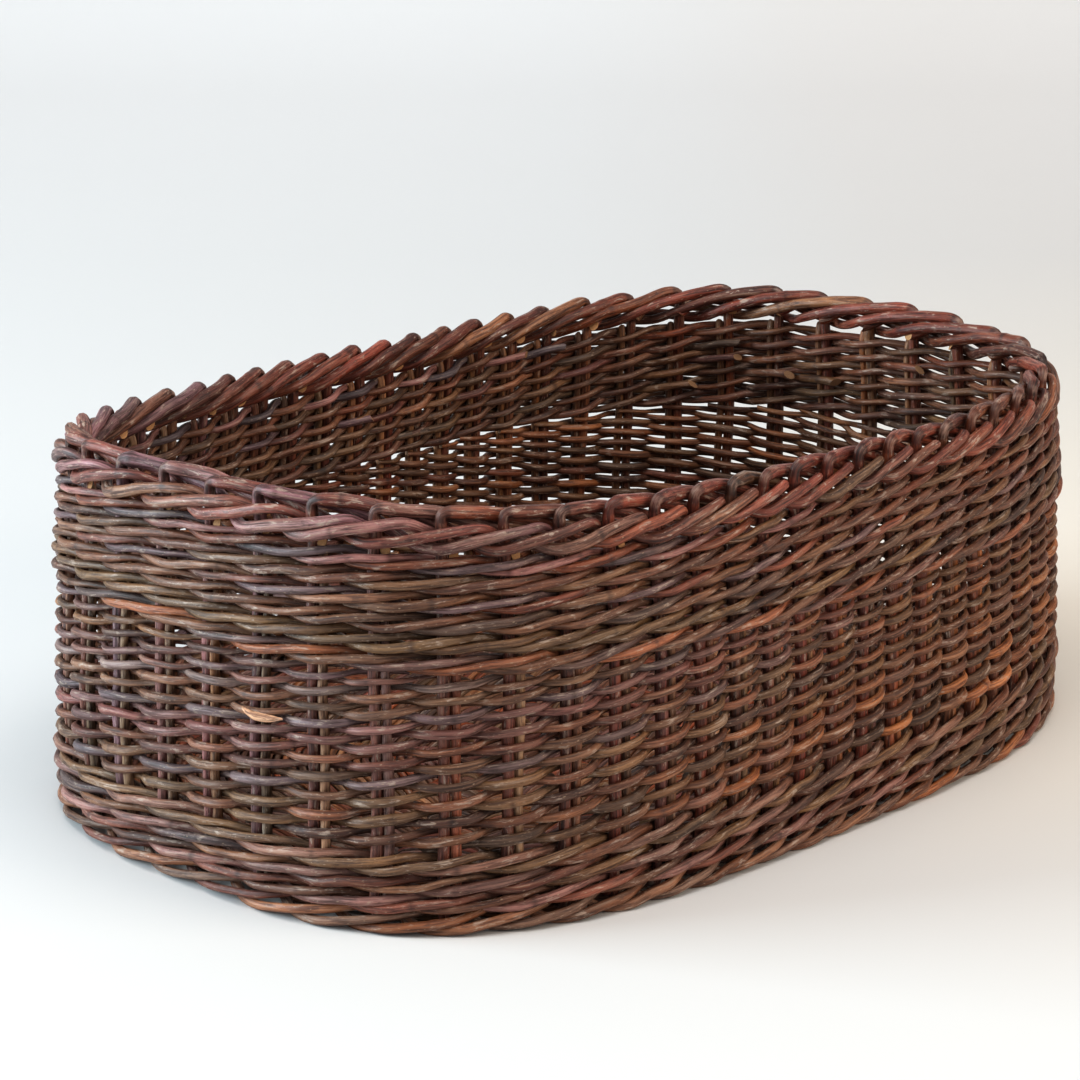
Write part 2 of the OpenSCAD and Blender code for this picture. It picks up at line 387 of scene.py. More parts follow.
        lo, hi = 0.01, 60.0
        for _ in range(40):
            mid = (lo + hi) / 2
            lo, hi = (mid, hi) if rows(mid) <= 1 else (lo, mid)
        out = []
        rows(lo, out)
        uv = np.zeros((nq * 4 + nt * 3, 2))
        quv = uv[:nq * 4].reshape(nq, 4, 2)
        tuv = uv[nq * 4:].reshape(nt, 3, 2)
        for item in out:
            if len(item) == 9:
                first, sides, i, j, x, y, k, c, length = item
                a = x + (length[i:j] - length[i]) * k
                b = x + (length[i + 1:j + 1] - length[i]) * k
                v0 = y + np.arange(sides) / sides * c
                v1 = y + (np.arange(sides) + 1) / sides * c
                block = quv[first + i * sides:first + j * sides].reshape(j - i, sides, 4, 2)
                block[:, :, 0, 0] = block[:, :, 1, 0] = a[:, None]
                block[:, :, 2, 0] = block[:, :, 3, 0] = b[:, None]
                block[:, :, 0, 1] = block[:, :, 3, 1] = v0[None]
                block[:, :, 1, 1] = block[:, :, 2, 1] = v1[None]
            else:
                n_, x, y, w = item
                first, sides, _ = self.caps[n_]
                th = np.arange(sides) * TAU / sides
                ox, oy = x + w / 2, y + w / 2
                px, py = ox + w / 2 * np.cos(th), oy + w / 2 * np.sin(th)
                odd = n_ % 2 == 1
                tuv[first:first + sides, 2] = (ox, oy)
                one, two = (0, 1) if odd else (1, 0)
                tuv[first:first + sides, one] = np.stack([px, py], -1)
                tuv[first:first + sides, two] = np.stack([np.roll(px, -1), np.roll(py, -1)], -1)
        layer = me.uv_layers.new(name="OFBake")
        layer.data.foreach_set("uv", uv.astype(np.float32).ravel())


# --------------------------------------------------------------------------
# Materials
# --------------------------------------------------------------------------
def bark_material(name, rough=0.52, streak=1.0, grey=0.25, dark=1.0, sheen=0.0):
    m = bpy.data.materials.new(name)
    m.use_nodes = True
    nt = m.node_tree
    nt.nodes.clear()
    N_, L = nt.nodes, nt.links

    def node(kind, **kw):
        n = N_.new(kind)
        for k, v in kw.items():
            setattr(n, k, v)
        return n

    def val(n, **kw):
        for k, v in kw.items():
            n.inputs[k.replace("_", " ")].default_value = v
        return n

    out = node("ShaderNodeOutputMaterial")
    bsdf = node("ShaderNodeBsdfPrincipled")
    L.new(bsdf.outputs[0], out.inputs[0])
    tone = node("ShaderNodeAttribute", attribute_name="tone")
    bark = node("ShaderNodeAttribute", attribute_name="bark")
    mark = node("ShaderNodeAttribute", attribute_name="mark")

    def scaled(x, y):
        s = node("ShaderNodeVectorMath", operation="MULTIPLY")
        L.new(bark.outputs["Vector"], s.inputs[0])
        s.inputs[1].default_value = (x, y, y)
        return s.outputs[0]

    def noise(vec, scale, detail=3.0, rough_=0.6, dist=0.0):
        n = node("ShaderNodeTexNoise")
        val(n, Scale=scale, Detail=detail, Roughness=rough_, Distortion=dist)
        L.new(vec, n.inputs["Vector"])
        return n.outputs["Fac"]

    def ramp(fac, lo, hi, a=0.0, b=1.0):
        n = node("ShaderNodeMapRange", interpolation_type="SMOOTHSTEP")
        n.inputs[1].default_value, n.inputs[2].default_value = lo, hi
        n.inputs[3].default_value, n.inputs[4].default_value = a, b
        L.new(fac, n.inputs[0])
        return n.outputs[0]

    def mix(kind, fac, a, b):
        n = node("ShaderNodeMix", data_type="RGBA", blend_type=kind)
        if isinstance(fac, float):
            n.inputs[0].default_value = fac
        else:
            L.new(fac, n.inputs[0])
        for s_, v in ((6, a), (7, b)):
            if isinstance(v, tuple):
                n.inputs[s_].default_value = v
            else:
                L.new(v, n.inputs[s_])
        return n.outputs[2]

    def math_(op, a, b):
        n = node("ShaderNodeMath", operation=op)
        for i, v in ((0, a), (1, b)):
            if isinstance(v, (int, float)):
                n.inputs[i].default_value = v
            else:
                L.new(v, n.inputs[i])
        return n.outputs[0]

    fine = noise(scaled(55, 900), 1.0, 4.0, 0.65)          # streaks along the bark
    broad = noise(scaled(16, 110), 1.0, 3.0, 0.55)         # patches a few cm long
    speck = node("ShaderNodeTexVoronoi", feature="F1")
    val(speck, Scale=1.0, Randomness=1.0)
    L.new(scaled(260, 620), speck.inputs["Vector"])
    grain = noise(scaled(700, 2600), 1.0, 2.0, 0.5)

    dull = mix("MIX", ramp(broad, 0.42, 0.72, 0.0, grey), tone.outputs["Color"], (0.125, 0.098, 0.080, 1))
    warm = mix("MIX", ramp(broad, 0.30, 0.46, 0.35, 0.0), dull, (0.185, 0.066, 0.028, 1))
    mid = noise(scaled(28, 420), 1.0, 3.0, 0.6, 0.3)           # broader ribs of bark
    dk0 = mix("MULTIPLY", ramp(fine, 0.34, 0.56, 0.95 * streak, 0.0), warm, (0.34, 0.27, 0.25, 1))
    dk = mix("MULTIPLY", ramp(mid, 0.36, 0.52, 0.75 * streak, 0.0), dk0, (0.48, 0.40, 0.38, 1))
    lt0 = mix("MIX", ramp(fine, 0.56, 0.74, 0.0, 0.50 * streak), dk, (0.36, 0.235, 0.150, 1))
    lt = mix("MIX", ramp(mid, 0.58, 0.76, 0.0, 0.34 * streak), lt0, (0.40, 0.29, 0.215, 1))
    # dusty, rubbed places where the pale inner bark shows
    rub = noise(scaled(95, 330), 1.0, 4.0, 0.7, 0.4)
    lt1 = mix("MIX", math_("MULTIPLY", ramp(rub, 0.56, 0.66, 0.0, 0.62 * streak), ramp(fine, 0.40, 0.55, 0.35, 1.0)), lt, (0.46, 0.36, 0.29, 1))
    rubd = mix("MULTIPLY", ramp(rub, 0.34, 0.44, 0.6 * streak, 0.0), lt1, (0.40, 0.34, 0.33, 1))
    dots = math_("MULTIPLY", ramp(speck.outputs["Distance"], 0.10, 0.26, 1.0, 0.0), ramp(grain, 0.45, 0.62))
    lent = mix("MIX", math_("MULTIPLY", dots, 0.6), rubd, (0.46, 0.33, 0.22, 1))
    knot = mix("MULTIPLY", ramp(mark.outputs["Fac"], 0.25, 0.95, 0.0, 0.75), lent, (0.30, 0.22, 0.20, 1))
    # marks over 1.5 are cracked pale bark on the kinks
    pale = mix("MIX", math_("MULTIPLY", ramp(mark.outputs["Fac"], 1.2, 2.2, 0.0, 0.55), ramp(rub, 0.42, 0.60)), knot, (0.34, 0.205, 0.155, 1))
    L.new(pale, bsdf.inputs["Base Color"])

    r1 = ramp(fine, 0.3, 0.75, rough + 0.12, rough - 0.10)
    r2 = math_("ADD", r1, ramp(broad, 0.4, 0.7, 0.0, 0.10))
    L.new(r2, bsdf.inputs["Roughness"])
    bsdf.inputs["Specular IOR Level"].default_value = 0.5
    if sheen:
        bsdf.inputs["Sheen Weight"].default_value = sheen
        bsdf.inputs["Sheen Roughness"].default_value = 0.45

    b1 = node("ShaderNodeBump")
    val(b1, Strength=0.55, Distance=0.0006)
    L.new(fine, b1.inputs["Height"])
    b2 = node("ShaderNodeBump")
    val(b2, Strength=0.35, Distance=0.0003)
    L.new(math_("ADD", grain, math_("MULTIPLY", dots, 0.8)), b2.inputs["Height"])
    L.new(b1.outputs[0], b2.inputs["Normal"])
    b3 = node("ShaderNodeBump")
    val(b3, Strength=0.5, Distance=0.0009)
    L.new(mid, b3.inputs["Height"])
    L.new(b2.outputs[0], b3.inputs["Normal"])
    b4 = node("ShaderNodeBump")
    val(b4, Strength=0.45, Distance=0.0007)
    L.new(rub, b4.inputs["Height"])
    L.new(b3.outputs[0], b4.inputs["Normal"])
    L.new(b4.outputs[0], bsdf.inputs["Normal"])
    return m


def cut_material(name, colour=(0.55, 0.30, 0.14)):
    m = bpy.data.materials.new(name)
    m.use_nodes = True
    nt = m.node_tree
    nt.nodes.clear()
    out = nt.nodes.new("ShaderNodeOutputMaterial")
    bsdf = nt.nodes.new("ShaderNodeBsdfPrincipled")
    nt.links.new(bsdf.outputs[0], out.inputs[0])
    bark = nt.nodes.new("ShaderNodeAttribute")
    bark.attribute_name = "bark"
    sc = nt.nodes.new("ShaderNodeVectorMath")
    sc.operation = "MULTIPLY"
    sc.inputs[1].default_value = (900, 1500, 1500)
    nt.links.new(bark.outputs["Vector"], sc.inputs[0])
    no = nt.nodes.new("ShaderNodeTexNoise")
    no.inputs["Scale"].default_value = 1.0
    no.inputs["Detail"].default_value = 3.0
    nt.links.new(sc.outputs[0], no.inputs["Vector"])
    mx = nt.nodes.new("ShaderNodeMix")
    mx.data_type = "RGBA"
    nt.links.new(no.outputs["Fac"], mx.inputs[0])
    mx.inputs[6].default_value = (colour[0] * 0.62, colour[1] * 0.55, colour[2] * 0.5, 1)
    mx.inputs[7].default_value = (min(1, colour[0] * 1.25), min(1, colour[1] * 1.25), min(1, colour[2] * 1.2), 1)
    nt.links.new(mx.outputs[2], bsdf.inputs["Base Color"])
    rr = nt.nodes.new("ShaderNodeMapRange")
    rr.inputs[3].default_value, rr.inputs[4].default_value = 0.65, 0.85
    nt.links.new(no.outputs["Fac"], rr.inputs[0])
    nt.links.new(rr.outputs[0], bsdf.inputs["Roughness"])
    bp = nt.nodes.new("ShaderNodeBump")
    bp.inputs["Strength"].default_value = 0.4
    bp.inputs["Distance"].default_value = 0.0003
    nt.links.new(no.outputs["Fac"], bp.inputs["Height"])
    nt.links.new(bp.outputs[0], bsdf.inputs["Normal"])
    return m


CUT = cut_material("cut_willow")
CUT_OLD = cut_material("cut_willow_old", (0.30, 0.17, 0.09))
BARK = {k: bark_material(k, **v) for k, v in {
    "stake_willow": dict(rough=0.42, grey=0.2, streak=1.2),
    "bye_willow": dict(rough=0.5, grey=0.3),
    "wale_willow": dict(rough=0.46, grey=0.35),
    "siding_willow": dict(rough=0.5, grey=0.3),
    "upsett_willow": dict(rough=0.5, grey=0.35),
    "base_willow": dict(rough=0.56, grey=0.3),
    "stick_willow": dict(rough=0.58, grey=0.3),
}.items()}


def mid_x(s):
    return float(at(s)[0]) / HALF_LEN


# --------------------------------------------------------------------------
# Siding: French rand, one rod behind each stake, 21 passes
# --------------------------------------------------------------------------
PASSES = 21
H0 = 4.8
H1 = 2 * (WALE_Z - SIDING_Z) / PASSES - H0


def rand_h(n):
    return H0 + (H1 - H0) * n / (PASSES - 1)


def rand_z(n):
    return SIDING_Z + n * (H0 + rand_h(np.maximum(n - 1, 0))) / 2 + rand_h(n) / 2


def siding():
    g = Rods("siding_rods_willow", 101)
    rng = np.random.RandomState(21)
    for i in range(N):
        p0, p1 = -rng.uniform(0.30, 0.5), PASSES - 1 + rng.uniform(0.18, 0.45)
        p = np.linspace(p0, p1, int((p1 - p0) * 8) + 1)
        n = np.arange(-1, PASSES + 1)
        z = catmull(np.column_stack([n, rand_z(n) + rng.uniform(-0.6, 0.6, len(n))]), p)[:, 0]
        amp = 4.35 + rng.uniform(-0.25, 0.25) - 0.02 * np.maximum(p, 0)
        # nearly straight over each pair, crossing between pairs
        r = -amp * np.tanh(1.45 * np.cos(np.pi * p)) / math.tanh(1.45)
        # the butt leans out on the inside
        r -= np.clip(-p, 0, 1) * 5
        d = rand_h(np.clip(p, 0, PASSES - 1)) * 1.14 * math.exp(rng.uniform(-0.12, 0.08))
        # squeezed where it crosses its neighbours, full over the pair
        d = d * (1.02 - 0.17 * (1 - np.abs(np.cos(np.pi * p)) ** 0.8))
        tip = np.clip((p1 - p) / 1.2, 0, 1)
        d = d * (0.72 + 0.28 * tip)
        s = stake_s(i + p) + PAIR_MID
        c = pick(rng, "siding", mid_x(s[len(s) // 2]))
        c2 = pick(rng, "siding", mid_x(s[-1]))
        s = s + catmull(np.column_stack([n, rng.uniform(-1.2, 1.2, len(n))]), p)[:, 0]
        f = (p - p0) / (p1 - p0)
        g.add(wall(s, r, z), d / 2000, c[None] * (1 - f[:, None] * 0.5) + c2[None] * f[:, None] * 0.5,
              sides=8, frame_up=(0, 0, 1), slant=(1.0, 0.4))
    # a torn place near the -X end, where bark and pale wood have lifted
    k = catmull([(0, 838.6, 8.6, 100.9), (1, 842.0, 8.1, 99.3), (2, 846.4, 7.4, 98.1), (3, 851.4, 7.0, 97.8),
                 (4, 855.6, 6.8, 98.1), (5, 860.0, 6.2, 98.6)], np.linspace(0, 5, 26))
    g.add(wall(k[:, 0], k[:, 1], k[:, 2]), np.interp(np.linspace(0, 5, 26), range(6), [0.5, 1.5, 2.3, 2.1, 1.6, 0.5]) / 1000,
          np.array([0.86, 0.50, 0.30]), sides=8, knots=False, frame_up=(0, 0, 1), slant=(1.2, 1.2), wander=0.15)
    return g.build(["siding_rods"], "siding_willow", BARK["siding_willow"], CUT_OLD)


# --------------------------------------------------------------------------
# Three-rod waling: in front of two, behind one
# --------------------------------------------------------------------------
R_KEYS = {0: -1.0, 0.5: 0.0, 1.0: 0.97, 1.5: 1.1, 2.0: 0.97, 2.5: 0.0}
Z_KEYS = {0: 0.0, 0.5: -0.30, 1.0: -0.235, 1.5: 0.0, 2.0: 0.235, 2.5: 0.30}


def wale_round(name, node, z0, h, d, slot, kind, seed, first=False):
    g = Rods(name, seed)
    rng = np.random.RandomState(seed + 500)
    seq, k = [], int(rng.randint(N))
    for _ in range(N):
        seq.append(k)
        k = (k + 3) % N
    pos = 0
    while pos < N:
        cnt = int(rng.randint(9, 14))
        if N - pos - cnt < 6:
            cnt = N - pos
        g0 = seq[pos]
        keys = []
        for st in range(cnt + 1):
            for kp in sorted(R_KEYS):
                if st == cnt and kp > 0.5:
                    break
                pp = 3 * st + kp
                zz = Z_KEYS[kp]
                rr = R_KEYS[kp]
                if first and kp == 0:
                    zz, rr = 0.72, rr
                if first and kp in (0.5, 2.5):
                    zz += 0.22 if kp == 2.5 else 0.05
                keys.append((pp, rr * (1 + rng.uniform(-0.04, 0.05)), zz + rng.uniform(-0.055, 0.055)))
        keys.insert(0, (-0.5, -1.25, keys[0][2] + 0.05))
        p0, p1 = -rng.uniform(0.25, 0.45), 3 * cnt + rng.uniform(0.15, 0.35)
        p = np.linspace(p0, p1, int((p1 - p0) * 8) + 1)
        kv = catmull(keys, p)
        f = (p - p0) / (p1 - p0)
        dd = d * (1.06 - 0.16 * f) * (1 + rng.uniform(-0.13, 0.11))
        dd *= 0.8 + 0.2 * np.clip((p1 - p) / 1.0, 0, 1)
        amp = STAKE_D / 2 + d / 2 + 0.1
        s = stake_s(g0 + p) + PAIR_MID
        z = z0 + h * (0.5 + kv[:, 1])
        c = pick(rng, kind, mid_x(s[len(s) // 2]))
        c2 = pick(rng, kind, mid_x(s[-1]))
        g.add(wall(s, kv[:, 0] * amp, z), dd / 2000,
              c[None] * (1 - f[:, None] * 0.45) + c2[None] * f[:, None] * 0.45,
              sides=8, frame_up=(0, 0, 1), slant=(1.1, 0.5), wander=0.17)
        pos += cnt
    return g.build([node], slot, BARK[slot], CUT_OLD)


def waling():
    h = (SIDING_Z - 0.6) / 4
    for k in range(4):
        wale_round(f"upsett_wale_{k + 1}_willow", f"upsett_wale_{k + 1}", 0.6 + h * k, h, 4.75,
                   "upsett_willow", "wale", 300 + k, first=(k == 0))
    h = (BORDER_Z - WALE_Z) / 6
    for k in range(6):
        wale_round(f"top_wale_{k + 1}_willow", f"top_wale_{k + 1}", WALE_Z + h * k, h, 4.35,
                   "wale_willow", "wale", 400 + k)


# --------------------------------------------------------------------------
# Base: slit sticks, long sticks, pairing
# --------------------------------------------------------------------------
def stick_end(k):
    s = run_s(2 * k)
    return at(s) - outward(s) * BASE_EDGE


def stick_bend(k):
    q = k % 28
    if q <= 2 or q >= 26:
        return np.array([92.0, 6.0 * (q if q <= 2 else q - 28)])
    if q <= 11:
        return np.array([(7 - q) * 21.0, 20.0])
    if q <= 16:
        return np.array([-92.0, 6.0 * (14 - q)])
    return np.array([(q - 21) * 21.0, -20.0])


STICK_Z = 6.8


def base_sticks():
    g = Rods("long_sticks_willow", 601)
    rng = np.random.RandomState(61)
    for j in range(-2, 3):
        a, b, c, d = stick_end(j), stick_bend(j), stick_bend(14 - j), stick_end(14 - j)
        keys = [(0, *a), (1, *(a * 0.5 + b * 0.5)), (1.9, *(a * 0.05 + b * 0.95)), (2.3, *(b * 0.9 + c * 0.1)), (3, *(b * 0.5 + c * 0.5)),
                (3.7, *(b * 0.1 + c * 0.9)), (4.1, *(c * 0.95 + d * 0.05)), (5, *(c * 0.5 + d * 0.5)), (6, *d)]
        x = np.linspace(0, 6, 90)
        xy = catmull(keys, x)
        z = STICK_Z + 0.25 * np.sin(x * 2.1 + j)
        g.add(np.column_stack([xy, z]) / 1000, (5.4 - 0.9 * np.abs(x - 3) / 3) / 2000,
              pick(rng, "stake"), sides=10, frame_up=(0, 0, 1), slant=(0.2, 0.2))
    g.build(["base_long_sticks"], "stick_willow", BARK["stick_willow"], CUT_OLD)

    g = Rods("cross_sticks_willow", 602)
    for m in range(9):
        k1, k2 = 3 + m, 25 - m
        a, b, c, d = stick_end(k1), stick_bend(k1), stick_bend(k2), stick_end(k2)
        tone = pick(rng, "stake")
        # whole stick outside the slit, two flat halves sprung apart in it
        for e, bb in ((a, b), (d, c)):
            y0 = np.sign(bb[1]) * 17.5
            inner = np.array([bb[0], y0])
            keys = [(0, *e), (1, *(e * 0.5 + bb * 0.5)), (1.85, *(e * 0.06 + bb * 0.94)), (2.2, *inner)]
            x = np.linspace(0, 2.2, 46)
            xy = catmull(keys, x)
            g.add(np.column_stack([xy, np.full(len(x), STICK_Z)]) / 1000, (6.3 + 1.1 * np.clip(x / 1.8, 0, 1)) / 2000,
                  tone, sides=10, frame_up=(0, 0, 1), slant=(0.2, 0.0), cut=(1, 0))
        for up in (1, -1):
            y = np.linspace(-21, 21, 30)
            lift = up * (1.7 + 2.6 * (1 - smooth((np.abs(y) - 13) / 8)))
            path = np.column_stack([np.full(len(y), b[0]), y, STICK_Z + lift])
            g.add(path / 1000, np.full(len(y), 1.95 / 1000) * (1 - 0.15 * np.abs(y) / 21),
                  tone, sides=8, frame_up=(0, 0, 1), knots=False, slant=(0, 0), cut=(0, 0))
    g.build(["base_cross_sticks"], "stick_willow", BARK["stick_willow"], CUT_OLD)


def base_weaving():
    ks = np.arange(-3, 32)
    q = np.array([stick_bend(k) for k in ks])
    e_tab = np.array([stick_end(k) for k in np.linspace(0, 28, 1121)])
    kap_tab = np.linspace(0, 28, 1121)
    rounds, d = 37, 3.75
    groups = [Rods(f"base_weave_{i + 1}_willow", 700 + i) for i in range(6)]
    rng = np.random.RandomState(71)
    per_step = 7
    for strand in (0, 1):
        kt, f_all = 0.35 + strand * 0.5, None
        while kt < 28 * rounds:
            f_here = kt / (28 * rounds)
            ring_len = 330 + f_here * (1540 - 330)
            steps = int(np.clip(rng.uniform(620, 1150) / (ring_len / 28), 12, 90))
            k_end = min(kt + steps, 28 * rounds + 0.3)
            x = np.linspace(kt, k_end, int((k_end - kt) * per_step) + 2)
            f = (x / 28 + 0.25) / (rounds + 0.1)
            kap = x % 28
            bend = catmull(np.column_stack([ks, q]), kap)
            edge = np.column_stack([np.interp(kap, kap_tab, e_tab[:, i]) for i in (0, 1)])
            # rows start just outside the slath and end at the edge
            ff = 0.012 + 0.975 * f
            xy = bend * (1 - ff[:, None]) + edge * ff[:, None]
            cw = np.cos(np.pi * x) * (1 if strand == 0 else -1)
            power = 0.75 - 0.4 * smooth((f - 0.55) / 0.2)
            z = STICK_Z + np.sign(cw) * np.abs(cw) ** power * 4.85
            z += 0.12 * np.sin(x * 3.3 + strand)
            taper = np.linspace(1.05, 0.92, len(x))
            idx = min(5, int((x.mean() / (28 * rounds)) * 6))
            g = groups[idx]
            c = pick(rng, "base", 0)
            g.add(np.column_stack([xy, z]) / 1000, d * taper / 2000, c, sides=6,
                  frame_up=(0, 0, 1), slant=(0.8, 0.5))
            kt = k_end - 0.25
            if k_end >= 28 * rounds:
                break
    for i, g in enumerate(groups):
        g.build([f"base_weave_{i + 1}"], "base_willow", BARK["base_willow"], CUT_OLD)


# --------------------------------------------------------------------------
# Stakes and border, bye-stakes
# --------------------------------------------------------------------------
# (run, stakes on, r, z) of the laid-down part; the run only spaces the keys
BORDER = [
    (0, 0.0, 0.1, 184.0), (5, -0.008, 0.5, 189.6), (9, -0.012, 1.0, 194.0), (11.6, 0.01, 1.2, 196.7),
    (13.8, 0.09, 1.1, 197.8), (18, 0.22, 0.3, 197.9), (26, 0.48, -2.3, 197.3), (40, 1.0, -6.1, 195.5),
    (54, 1.5, -6.8, 192.6), (68, 2.0, -6.5, 188.4), (76, 2.26, -4.6, 185.4), (82, 2.47, -1.2, 183.0),
    (88, 2.68, 2.8, 181.3), (95, 2.9, 5.7, 181.2), (104, 3.2, 6.9, 183.2), (118, 3.7, 7.1, 187.0),
    (132, 4.2, 6.5, 190.4), (139, 4.45, 5.0, 191.3), (144, 4.62, 2.4, 190.6), (148.5, 4.76, -1.0, 188.3),
    (153, 4.88, -4.6, 186.2), (157, 5.0, -7.4, 185.0),
]


def stakes():
    g = Rods("stakes_willow", 801)
    rng = np.random.RandomState(81)
    for i in range(N):
        s = stake_s(i)
        k = i // 2
        inward = stick_bend(k) - stick_end(k)
        inward = inward / np.linalg.norm(inward)
        foot = at(s) - outward(s) * 7.0
        jit = rng.uniform(-1, 1, 6)
        dm = STAKE_D * (1 + 0.05 * jit[0])
        # butt and bend, in the base
        b = [np.array([*(foot + inward * t_), 5.9]) / 1000 for t_ in np.linspace(52, 0, 12)]
        b += [wall(s, -3.2, 6.6), wall(s, -1.2, 8.4), wall(s, -0.2, 11.5)]
        zs = np.linspace(15, 181, 34)
        up = wall(np.full(34, s), 0.25 * np.sin(zs * 0.21 + jit[1] * 3), zs)
        keys = np.array(BORDER, float)
        keys[:, 3] += jit[2] * 0.45
        keys[3:8, 3] += jit[3] * 0.5
        keys[10:, 1] += jit[4] * 0.04
        keys[12:18, 3] += jit[5] * 0.5
        end = keys[-1, 0] - rng.uniform(0, 3)
        x = np.concatenate([np.linspace(0, 22, 18)[:-1], np.linspace(22, end, 58)])
        kv = catmull(keys, x)
        bo = wall(stake_s(i + kv[:, 0]), kv[:, 1], kv[:, 2])
        path = np.vstack([np.array(b).reshape(-1, 3), up, bo])
        nb, nu = len(b), 34
        rad = np.concatenate([np.full(nb, 5.7), np.linspace(dm, dm, nu),
                              (dm + 0.55 * smooth(x / 30)) * (1 - 0.13 * smooth((x - 45) / 40)
                                                             - 0.10 * smooth((x - 100) / 50))]) / 2000
        # the kink: the rod is squeezed flat and its bark cracks pale
        kink = np.exp(-((x - 11.5) / 3.4) ** 2)
        rad[nb + nu:] *= 1 - 0.16 * kink + 0.05 * np.exp(-((x - 20) / 5) ** 2)
        mark = np.zeros(len(path))
        mark[nb + nu:] = 2.1 * kink * rng.uniform(0.5, 1.15)
        xe = mid_x(stake_s(i + 3))
        c = pick(rng, "border", xe)
        cu = c * 0.6 + pick(rng, "stake", xe) * 0.4
        f = np.concatenate([np.zeros(nb + nu), smooth(x / 25)])[:, None]
        tone = cu[None] * (1 - f) + c[None] * f
        # bark on the front strokes is scuffed paler along its crown
        scuff = rng.uniform(0, 1)
        front = np.exp(-((x - 112) / 26) ** 2) * (0.62 * scuff ** 1.7)
        tone[nb + nu:] = tone[nb + nu:] * (1 - front[:, None]) + TAN[None] * 0.9 * front[:, None]
        g.add(path, rad, tone, sides=10, slant=(0.3, 0.9), mark=mark)
    g.build(["stakes"], "stake_willow", BARK["stake_willow"], CUT)

    g = Rods("bye_stakes_willow", 802)
    rng = np.random.RandomState(82)
    for i in range(N):
        s = stake_s(i) + 2 * PAIR_MID + rng.uniform(-0.3, 0.5)
        top = BORDER_Z + rng.uniform(-0.6, 1.2)
        z = np.concatenate([np.linspace(9.5, top - 2, 40), [top - 0.8, top]])
        r = 0.2 * np.sin(z * 0.2 + rng.uniform(0, 6)) + 0.6 * smooth((z - 165) / 12) + 2.2 * smooth((z - 174) / 8)
        o = outward(s)
        g.add(wall(np.full(len(z), s), r, z), (BYE_D * (1.04 - 0.12 * z / 180)) / 2000,
              pick(rng, "bye", mid_x(s)), sides=10, slant=(0.4, -rng.uniform(0.9, 1.5)),
              slant_dir=(None, (o[0], o[1], 0)))
    g.build(["bye_stakes"], "bye_willow", BARK["bye_willow"], CUT)


siding()
waling()
base_sticks()
base_weaving()
stakes()

# --------------------------------------------------------------------------
# Floor, light, camera
# --------------------------------------------------------------------------
def stage_material():
    m = bpy.data.materials.new("paper_sweep")
    m.use_nodes = True
    b = m.node_tree.nodes["Principled BSDF"]
    a = m.node_tree.nodes.new("ShaderNodeAttribute")
    a.attribute_name = "paper"
    m.node_tree.links.new(a.outputs["Color"], b.inputs["Base Color"])
    b.inputs["Roughness"].default_value = 0.9
    b.inputs["Specular IOR Level"].default_value = 0.1
    return m


H = 0.2
yaw, pitch, roll = 0.8040771, 0.2888506, -0.000567
fpx, dist = 3482.2, 9.426405 * H
target = np.array([-0.03387264, 0.09889434, 0.56303608]) * H
fwd = np.array([math.sin(yaw) * math.cos(pitch), math.cos(yaw) * math.cos(pitch), -math.sin(pitch)])
right = np.array([math.cos(yaw), -math.sin(yaw), 0.0])
upv = np.cross(right, fwd)
right, upv = (math.cos(roll) * right + math.sin(roll) * upv, -math.sin(roll) * right + math.cos(roll) * upv)
eye = target - dist * fwd

# paper sweep: level floor that curves up far behind the object
verts, faces = [], []
fh = np.array([fwd[0], fwd[1]]) / math.hypot(fwd[0], fwd[1])
rh = np.array([right[0], right[1]]) / math.hypot(right[0], right[1])
prof = [(d_, 0.0) for d_ in (-4.0, -2.0, -1.2, -0.9, -0.6, -0.4, -0.2, 0.0, 0.2, 0.4, 0.6, 0.9, 1.3, 1.7, 2.2)]
for a_ in np.linspace(0, math.pi / 2, 14)[1:]:
    prof.append((2.2 + 1.6 * math.sin(a_), 1.6 * (1 - math.cos(a_))))
prof.append((3.8, 4.5))
across = (-5.0, -2.5, -1.2, -0.7, -0.45, -0.3, -0.15, 0.0, 0.15, 0.3, 0.45, 0.7, 1.2, 2.5, 5.0)
paper = []
for d_, z_ in prof:
    for w_ in across:
        verts.append((fh[0] * d_ + rh[0] * w_, fh[1] * d_ + rh[1] * w_, z_))
        # the paper's colour carries painted light: a painted warm bounce to the right of the basket, painted shade
        # behind it and at the near left, and brighter further back
        painted_warm_bounce = float(smooth((w_ - 0.0) / 0.4) * smooth((d_ + 0.35) / 0.5))
        far_ = float(smooth((d_ - 0.2) / 1.2))
        grey = (0.67 + 0.12 * float(smooth((d_ - 0.9) / 2.0))) * (1 - 0.06 * far_ * float(smooth((w_ + 0.3) / 0.8))) \
            * (1 - 0.06 * float(smooth((-d_ - 0.2) / 0.5) * smooth(-w_ / 0.5)))
        # painted warm bounce light, strongest near the basket's right side
        grey *= 1 + 0.11 * painted_warm_bounce * (1 - far_)
        paper.append((grey, grey * (1 - 0.075 * painted_warm_bounce * (1 - 0.6 * far_)), grey * (1 - 0.18 * painted_warm_bounce * (1 - 0.7 * far_)), 1.0))
nw = len(across)
for i in range(len(prof) - 1):
    for j in range(nw - 1):
        k = i * nw + j
        faces.append((k, k + 1, k + nw + 1, k + nw))
me = bpy.data.meshes.new("sweep")
me.from_pydata(verts, [], faces)
me.polygons.foreach_set("use_smooth", [True] * len(me.polygons))
at_ = me.attributes.new("paper", "FLOAT_COLOR", "POINT")
at_.data.foreach_set("color", np.array(paper, np.float32).ravel())
floor = bpy.data.objects.new("sweep", me)
bpy.context.scene.collection.objects.link(floor)
me.materials.append(stage_material())

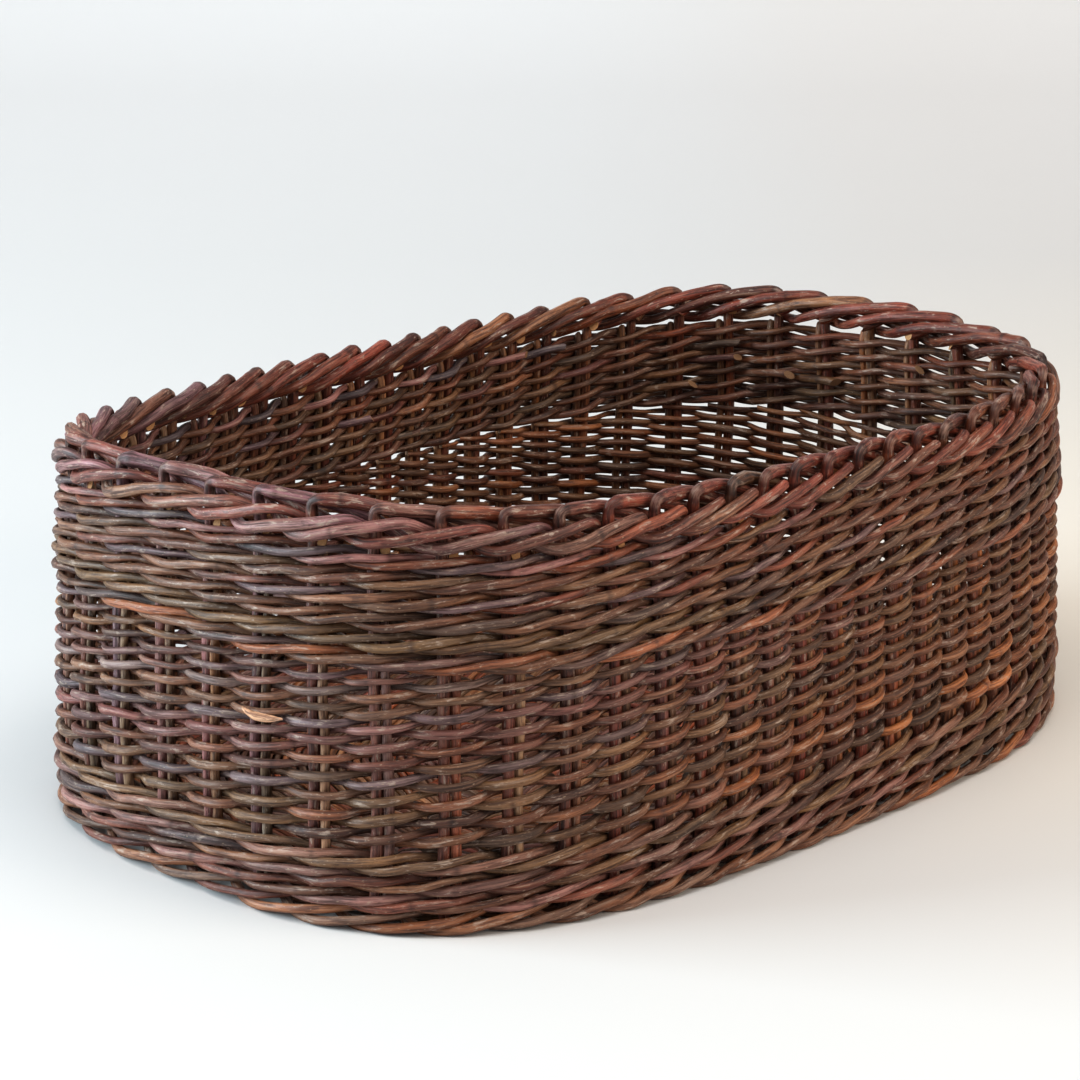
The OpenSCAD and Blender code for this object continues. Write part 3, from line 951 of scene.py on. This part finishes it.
world = bpy.data.worlds.new("studio")
bpy.context.scene.world = world
world.use_nodes = True
bg = world.node_tree.nodes["Background"]
bg.inputs[0].default_value = (0.95, 0.97, 1.0, 1)
bg.inputs[1].default_value = 0.50
bpy.context.scene.view_settings.view_transform = "Standard"
bpy.context.scene.view_settings.gamma = 0.87


def area(name, where, look, size, power, colour):
    l = bpy.data.lights.new(name, "AREA")
    l.shape, l.size, l.size_y = "RECTANGLE", size[0], size[1]
    l.energy, l.color = power, colour
    o = bpy.data.objects.new(name, l)
    bpy.context.scene.collection.objects.link(o)
    o.location = where
    o.rotation_euler = (Vector(look) - Vector(where)).to_track_quat("-Z", "Y").to_euler()
    return o


def rel(depth, side, z):
    return (fh[0] * depth + rh[0] * side, fh[1] * depth + rh[1] * side, z)


area("window_left", rel(-0.2, -2.4, 0.75), (0, 0, 0.1), (1.5, 1.1), 90, (0.76, 0.92, 1.0))
area("overhead", rel(-0.75, 0.1, 2.3), (0, 0, 0.05), (1.8, 1.4), 36, (1.0, 0.965, 0.92))
area("bounce_right", rel(-0.9, 2.1, 1.1), (0, 0, 0.05), (1.4, 0.9), 27, (1.0, 0.85, 0.68))
area("backdrop_left", rel(1.6, -1.2, 1.9), rel(3.6, -0.6, 0.9), (1.6, 1.6), 12.5, (0.97, 0.985, 1.0))
area("backdrop_right", rel(1.6, 1.4, 1.9), rel(3.6, 0.9, 0.9), (1.6, 1.6), 16.5, (1.0, 0.98, 0.965))

cam_d = bpy.data.cameras.new("camera")
cam = bpy.data.objects.new("camera", cam_d)
bpy.context.scene.collection.objects.link(cam)
cam_d.sensor_fit, cam_d.sensor_width = "HORIZONTAL", 36.0
cam_d.lens = fpx / 1080 * 36
cam_d.clip_start, cam_d.clip_end = 0.05, 30
cam.matrix_world = Matrix((
    (right[0], upv[0], -fwd[0], eye[0]),
    (right[1], upv[1], -fwd[1], eye[1]),
    (right[2], upv[2], -fwd[2], eye[2]),
    (0, 0, 0, 1)))
bpy.context.scene.camera = cam

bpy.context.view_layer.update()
